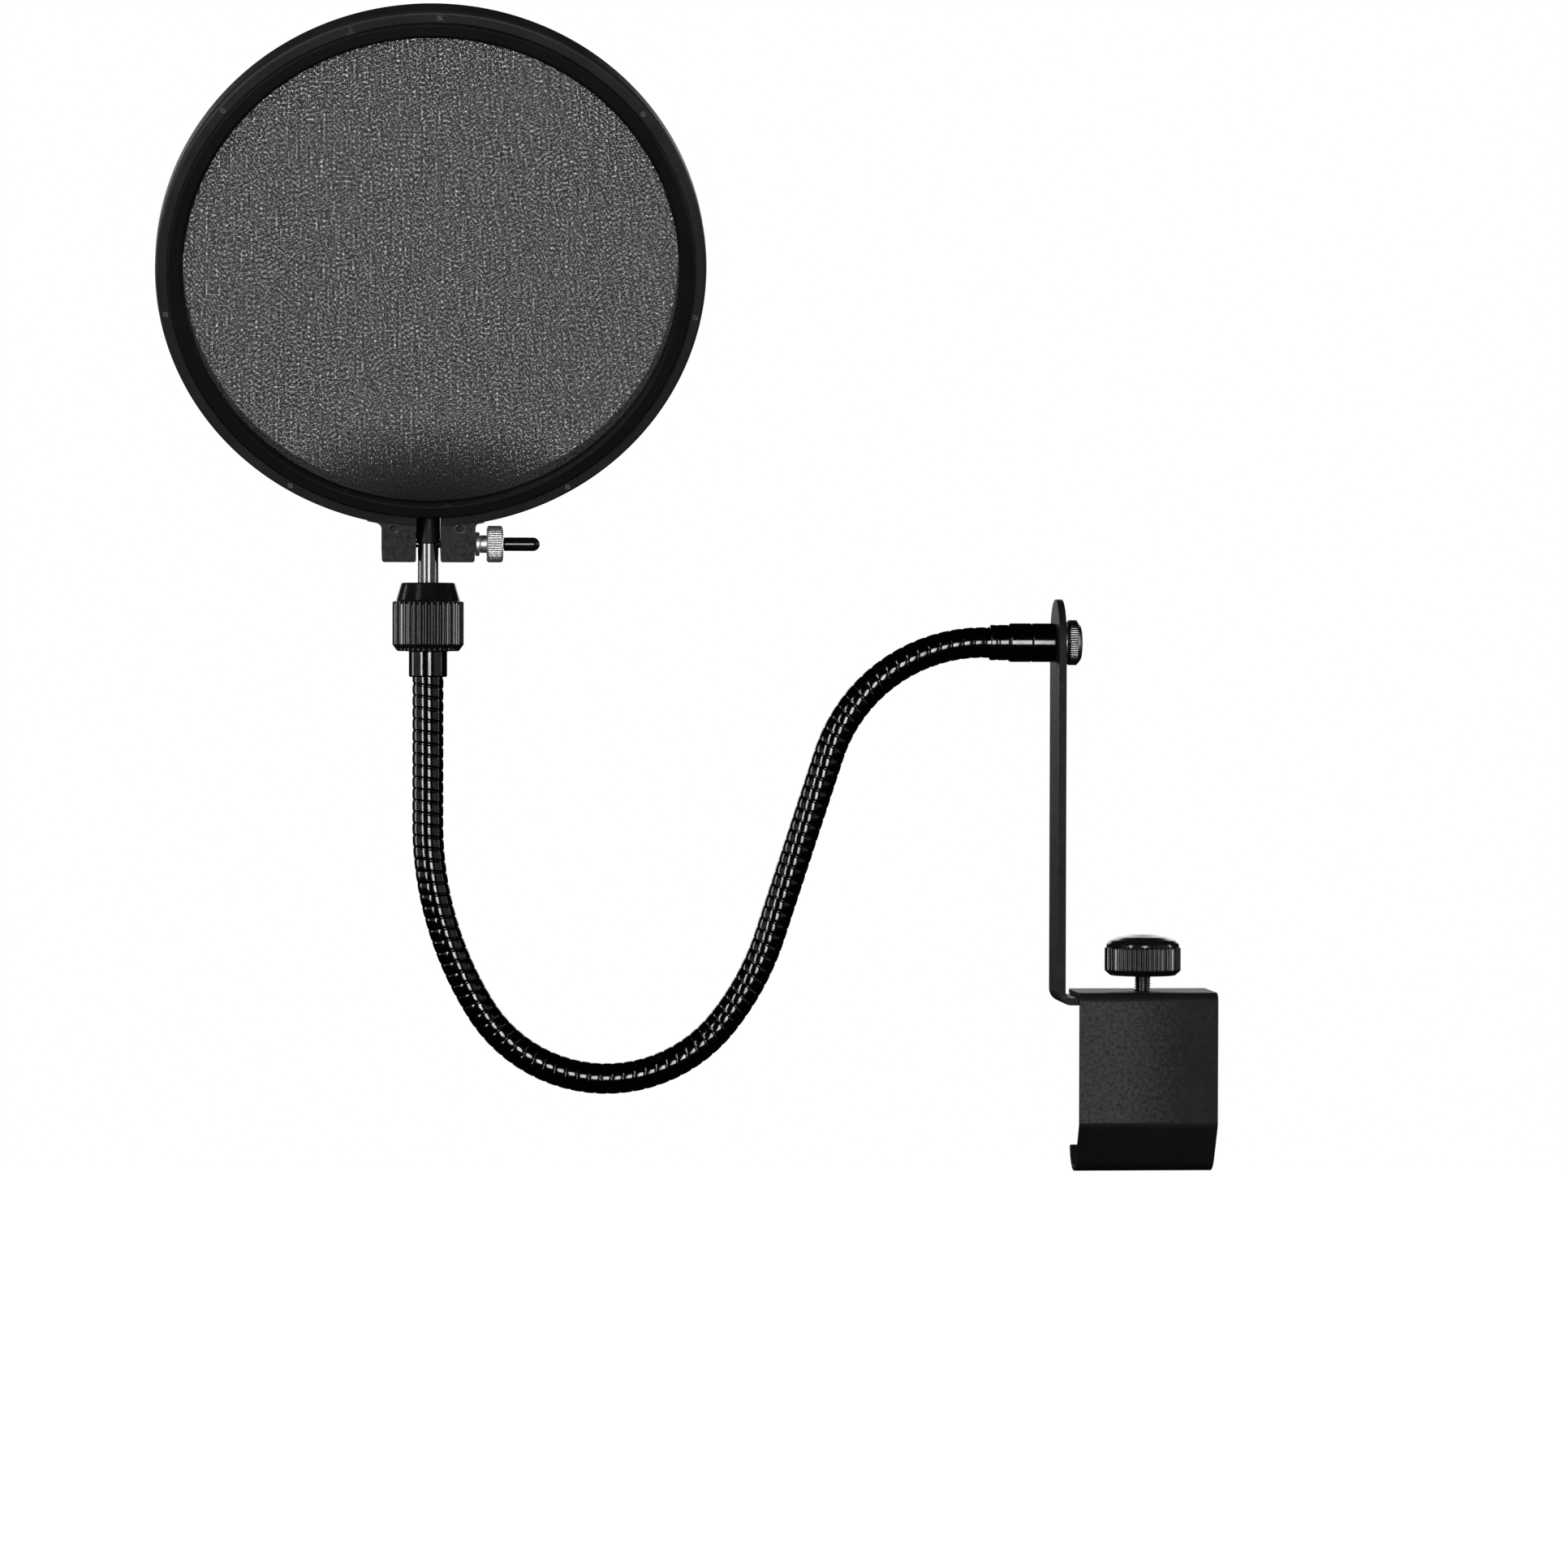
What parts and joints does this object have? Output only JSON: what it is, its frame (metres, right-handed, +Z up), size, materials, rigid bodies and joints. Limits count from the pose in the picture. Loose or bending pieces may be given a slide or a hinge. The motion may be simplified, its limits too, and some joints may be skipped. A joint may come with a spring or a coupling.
{
  "type": "pop filter",
  "caption": "Round stretched-mesh pop filter on a tilting, sliding stem and a flexible gooseneck, with a screw clamp that hooks under a stand tube.",
  "frame": {"origin": "on the axis of the clamped stand tube, straight below the clamp screw", "axes": "+X along the stand tube, away from the gooseneck; +Y from the hoop's front to its back; +Z up the clamp screw"},
  "size_m": [0.3241, 0.0862, 0.3511],
  "materials": {
    "satin_black": "satin powder-coated steel sheet",
    "gloss_black_metal": "gloss black plated metal",
    "bright_steel": "bright plated steel",
    "zinc_plate": "bright zinc plate, knurled",
    "moulded_black": "ribbed moulded plastic",
    "black_vinyl": "glossy soft vinyl",
    "hoop_plastic": "semi-matt moulded plastic",
    "mesh_cloth": "fine woven nylon mesh"
  },
  "bodies": {
    "clamp": {"clamp_bracket": "satin_black", "arm_bar": "satin_black", "clamp_nut": "zinc_plate"},
    "clamp_pad": {"clamp_pad": "moulded_black"},
    "clamp_screw": {"clamp_screw": "bright_steel", "clamp_knob": "moulded_black"},
    "swivel": {"swivel_boss": "gloss_black_metal", "neck_adapter": "gloss_black_metal", "lower_ferrule": "gloss_black_metal", "gooseneck_1": "gloss_black_metal"},
    "thumbscrew_washer": {"thumbscrew_washer": "zinc_plate"},
    "thumbscrew": {"thumbscrew": "zinc_plate"},
    "neck_2": {"gooseneck_2": "gloss_black_metal"},
    "neck_3": {"gooseneck_3": "gloss_black_metal"},
    "neck_4": {"gooseneck_4": "gloss_black_metal"},
    "neck_5": {"gooseneck_5": "gloss_black_metal"},
    "neck_6": {"gooseneck_6": "gloss_black_metal"},
    "neck_7": {"gooseneck_7": "gloss_black_metal"},
    "neck_8": {"gooseneck_8": "gloss_black_metal"},
    "neck_top": {"gooseneck_9": "gloss_black_metal", "upper_ferrule": "gloss_black_metal"},
    "collar_nut": {"collar_nut": "moulded_black"},
    "collet": {"collet": "moulded_black"},
    "stem": {"stem": "bright_steel", "stem_sleeve": "black_vinyl"},
    "head": {"outer_hoop": "hoop_plastic", "inner_hoop": "hoop_plastic", "front_screen": "mesh_cloth", "rear_screen": "mesh_cloth", "tension_screw": "bright_steel"},
    "tension_washer": {"tension_washer": "zinc_plate", "tension_screw_cap": "black_vinyl"},
    "tension_nut": {"tension_nut": "zinc_plate"}
  },
  "joints": [
    {"name": "clamp_screw_travel", "type": "slide", "parent": "clamp", "child": "clamp_pad", "axis": [0, 0, 1], "range_m": [-0.0044, 0.0248]},
    {"name": "clamp_screw_turn", "type": "hinge", "parent": "clamp_pad", "child": "clamp_screw", "pos_m": [0, 0, 0.0508], "axis": [0, 0, 1], "range_deg": [-1980, 11160]},
    {"name": "arm_swivel", "type": "hinge", "parent": "clamp", "child": "swivel", "pos_m": [-0.0276, 0, 0.1533], "axis": [1, 0, 0], "continuous": true},
    {"name": "thumbscrew_travel", "type": "slide", "parent": "swivel", "child": "thumbscrew_washer", "axis": [1, 0, 0], "range_m": [0, 0.0024]},
    {"name": "thumbscrew_turn", "type": "hinge", "parent": "thumbscrew_washer", "child": "thumbscrew", "pos_m": [-0.024, 0, 0.1533], "axis": [1, 0, 0], "range_deg": [0, 1080]},
    {"name": "gooseneck_bend_1", "type": "hinge", "parent": "swivel", "child": "neck_2", "pos_m": [-0.06888, 0, 0.14952], "axis": [0, -1, 0], "range_deg": [-30, 20]},
    {"name": "gooseneck_bend_2", "type": "hinge", "parent": "neck_2", "child": "neck_3", "pos_m": [-0.09732, 0, 0.11883], "axis": [-0.9505, 0, 0.3107], "range_deg": [-30, 30]},
    {"name": "gooseneck_bend_3", "type": "hinge", "parent": "neck_3", "child": "neck_4", "pos_m": [-0.11066, 0, 0.07779], "axis": [0, 1, 0], "range_deg": [-30, 30]},
    {"name": "gooseneck_bend_4", "type": "hinge", "parent": "neck_4", "child": "neck_5", "pos_m": [-0.12823, 0, 0.03864], "axis": [0.7991, 0, -0.6012], "range_deg": [-30, 30]},
    {"name": "gooseneck_bend_5", "type": "hinge", "parent": "neck_5", "child": "neck_6", "pos_m": [-0.16508, 0, 0.01939], "axis": [0, -1, 0], "range_deg": [-20, 30]},
    {"name": "gooseneck_bend_6", "type": "hinge", "parent": "neck_6", "child": "neck_7", "pos_m": [-0.20221, 0, 0.03807], "axis": [0.8078, 0, 0.5895], "range_deg": [-30, 30]},
    {"name": "gooseneck_bend_7", "type": "hinge", "parent": "neck_7", "child": "neck_8", "pos_m": [-0.21846, 0, 0.07772], "axis": [0, 1, 0], "range_deg": [-30, 30]},
    {"name": "gooseneck_bend_8", "type": "hinge", "parent": "neck_8", "child": "neck_top", "pos_m": [-0.2203, 0, 0.12077], "axis": [-1, 0, 0], "range_deg": [-30, 30]},
    {"name": "collar_nut_turn", "type": "hinge", "parent": "neck_top", "child": "collar_nut", "pos_m": [-0.2203, 0, 0.155], "axis": [0, 0, 1], "range_deg": [0, 360]},
    {"name": "stem_swivel", "type": "hinge", "parent": "neck_top", "child": "collet", "pos_m": [-0.2203, 0, 0.16], "axis": [0, 0, 1], "continuous": true},
    {"name": "stem_slide", "type": "slide", "parent": "collet", "child": "stem", "axis": [0, 0, 1], "range_m": [-0.005, 0.01]},
    {"name": "head_tilt", "type": "hinge", "parent": "stem", "child": "head", "pos_m": [-0.2203, 0, 0.183], "axis": [1, 0, 0], "range_deg": [-114, 66]},
    {"name": "tension_nut_travel", "type": "slide", "parent": "head", "child": "tension_washer", "axis": [1, 0, 0], "range_m": [0, 0.0015]},
    {"name": "tension_nut_turn", "type": "hinge", "parent": "tension_washer", "child": "tension_nut", "pos_m": [-0.2, 0, 0.183], "axis": [1, 0, 0], "range_deg": [0, 1080]}
  ],
  "couplings": [
    {"joint": "clamp_screw_turn", "follows": "clamp_screw_travel", "rad_per_m": 7854},
    {"joint": "thumbscrew_turn", "follows": "thumbscrew_travel", "rad_per_m": 7854},
    {"joint": "tension_nut_turn", "follows": "tension_nut_travel", "rad_per_m": 12566}
  ]
}
